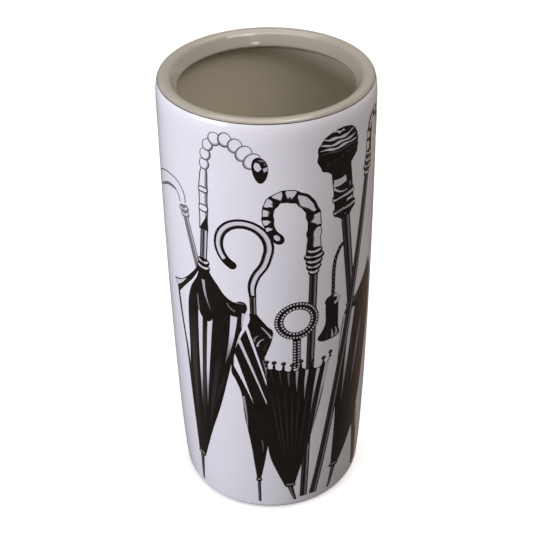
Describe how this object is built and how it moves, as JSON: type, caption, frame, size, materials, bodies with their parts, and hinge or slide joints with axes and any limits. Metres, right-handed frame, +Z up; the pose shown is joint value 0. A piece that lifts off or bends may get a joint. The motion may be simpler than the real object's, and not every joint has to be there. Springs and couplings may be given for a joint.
{
  "type": "umbrella stand",
  "caption": "Tall round glazed ceramic umbrella stand with a thick inward-turned rim, a fine shoulder line and an unglazed foot ring.",
  "frame": {"origin": "centre of the foot ring's flat resting face, on the axis of the cylinder", "axes": "+Z up along the cylinder's axis, towards the open rim; -Y is the front of the printed side"},
  "size_m": [0.1998, 0.1998, 0.4605],
  "materials": {
    "white_glaze": "gloss glaze, cool white",
    "grey_glaze": "gloss glaze, warm grey",
    "bare_clay": "unglazed, ground flat",
    "black_enamel": "fired black print, gloss"
  },
  "bodies": {
    "root": {"foot_ring": "bare_clay", "floor_slab": "grey_glaze", "body_wall": "white_glaze", "rim_collar": "grey_glaze", "shoulder_line": "black_enamel"}
  },
  "joints": []
}
